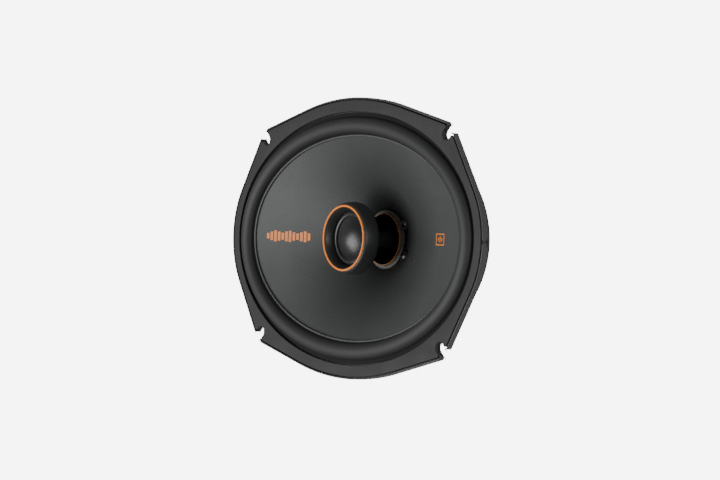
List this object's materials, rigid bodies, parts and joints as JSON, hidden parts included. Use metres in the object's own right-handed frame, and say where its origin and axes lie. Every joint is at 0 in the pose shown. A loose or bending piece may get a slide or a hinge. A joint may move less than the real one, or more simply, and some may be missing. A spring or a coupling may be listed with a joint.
{
  "type": "coaxial car speaker",
  "caption": "Oval coaxial car speaker: slotted flange, rolled rubber surround, woven cone, rear magnet and a dome tweeter on a centre post.",
  "frame": {"origin": "centre of the magnet cover's rear face, on the speaker's axis", "axes": "+Z along the speaker's axis to the front, +X along the long axis towards the terminals, +Y along the short axis"},
  "size_m": [0.235, 0.165, 0.0745],
  "materials": {
    "frame_paint": "satin dark grey paint on stamped steel",
    "gasket_rubber": "matt moulded gasket",
    "surround_rubber": "smooth satin rubber",
    "woven_cone": "fine woven texture under a thin clear coat",
    "adhesive": "light grey set adhesive",
    "black_adhesive": "glossy black set adhesive",
    "former_film": "amber film",
    "copper_wire": "enamelled copper wire",
    "spider_cloth": "resin-stiffened cloth",
    "steel": "zinc-plated steel",
    "ferrite": "matt sintered ferrite",
    "cover_rubber": "matt rubber",
    "black_plastic": "satin moulded plastic",
    "orange_paint": "orange coloured trim",
    "dome_fabric": "coated soft dome cloth",
    "board_fibre": "pressed fibre board",
    "tinned_brass": "tinned brass",
    "braid": "braided tinsel wire",
    "capacitor_sleeve": "shrunk film sleeve",
    "wire_red": "wire insulation",
    "wire_black": "wire insulation",
    "felt": "dense felt"
  },
  "bodies": {
    "frame": {"basket": "frame_paint", "gasket": "gasket_rubber", "surround": "surround_rubber", "spider": "spider_cloth", "top_plate": "steel", "magnet_ring": "ferrite", "pole_yoke": "steel", "magnet_cover": "cover_rubber", "pole_dust_ring": "felt", "rear_cap": "steel", "tweeter_post": "black_plastic", "tweeter_housing": "black_plastic", "tweeter_trim_ring": "orange_paint", "tweeter_waveguide": "black_plastic", "tweeter_cup": "steel", "tweeter_magnet": "steel", "tweeter_pole_plate": "steel", "tweeter_dome_edge": "dome_fabric", "terminal_board": "board_fibre", "terminal_blade_positive": "tinned_brass", "terminal_blade_negative": "tinned_brass", "blade_rivet_positive": "tinned_brass", "blade_rivet_negative": "tinned_brass", "board_rivet_positive": "tinned_brass", "board_rivet_negative": "tinned_brass", "crossover_capacitor": "capacitor_sleeve", "capacitor_lead_positive": "steel", "capacitor_lead_negative": "steel", "tinsel_lead_positive": "braid", "tinsel_lead_negative": "braid", "tweeter_wire_positive": "wire_red", "tweeter_wire_negative": "wire_black", "basket_rivet_1": "steel", "basket_rivet_2": "steel", "basket_rivet_3": "steel", "basket_rivet_4": "steel"},
    "cone_assembly": {"cone": "woven_cone", "neck_collar": "adhesive", "coil_former": "former_film", "coil_winding": "copper_wire", "lead_joint_positive": "black_adhesive", "lead_joint_negative": "black_adhesive"},
    "tweeter_diaphragm": {"tweeter_dome": "dome_fabric", "tweeter_coil": "copper_wire"}
  },
  "joints": [
    {"name": "cone_travel", "type": "slide", "parent": "frame", "child": "cone_assembly", "axis": [0, 0, 1], "range_m": [-0.005, 0.005], "stiffness_N_per_m": 2600, "deforming": ["surround", "spider", "tinsel_lead_positive", "tinsel_lead_negative"]},
    {"name": "dome_travel", "type": "slide", "parent": "frame", "child": "tweeter_diaphragm", "axis": [0, 0, 1], "range_m": [-0.0003, 0.0003], "stiffness_N_per_m": 5000, "deforming": ["tweeter_dome_edge"]}
  ]
}
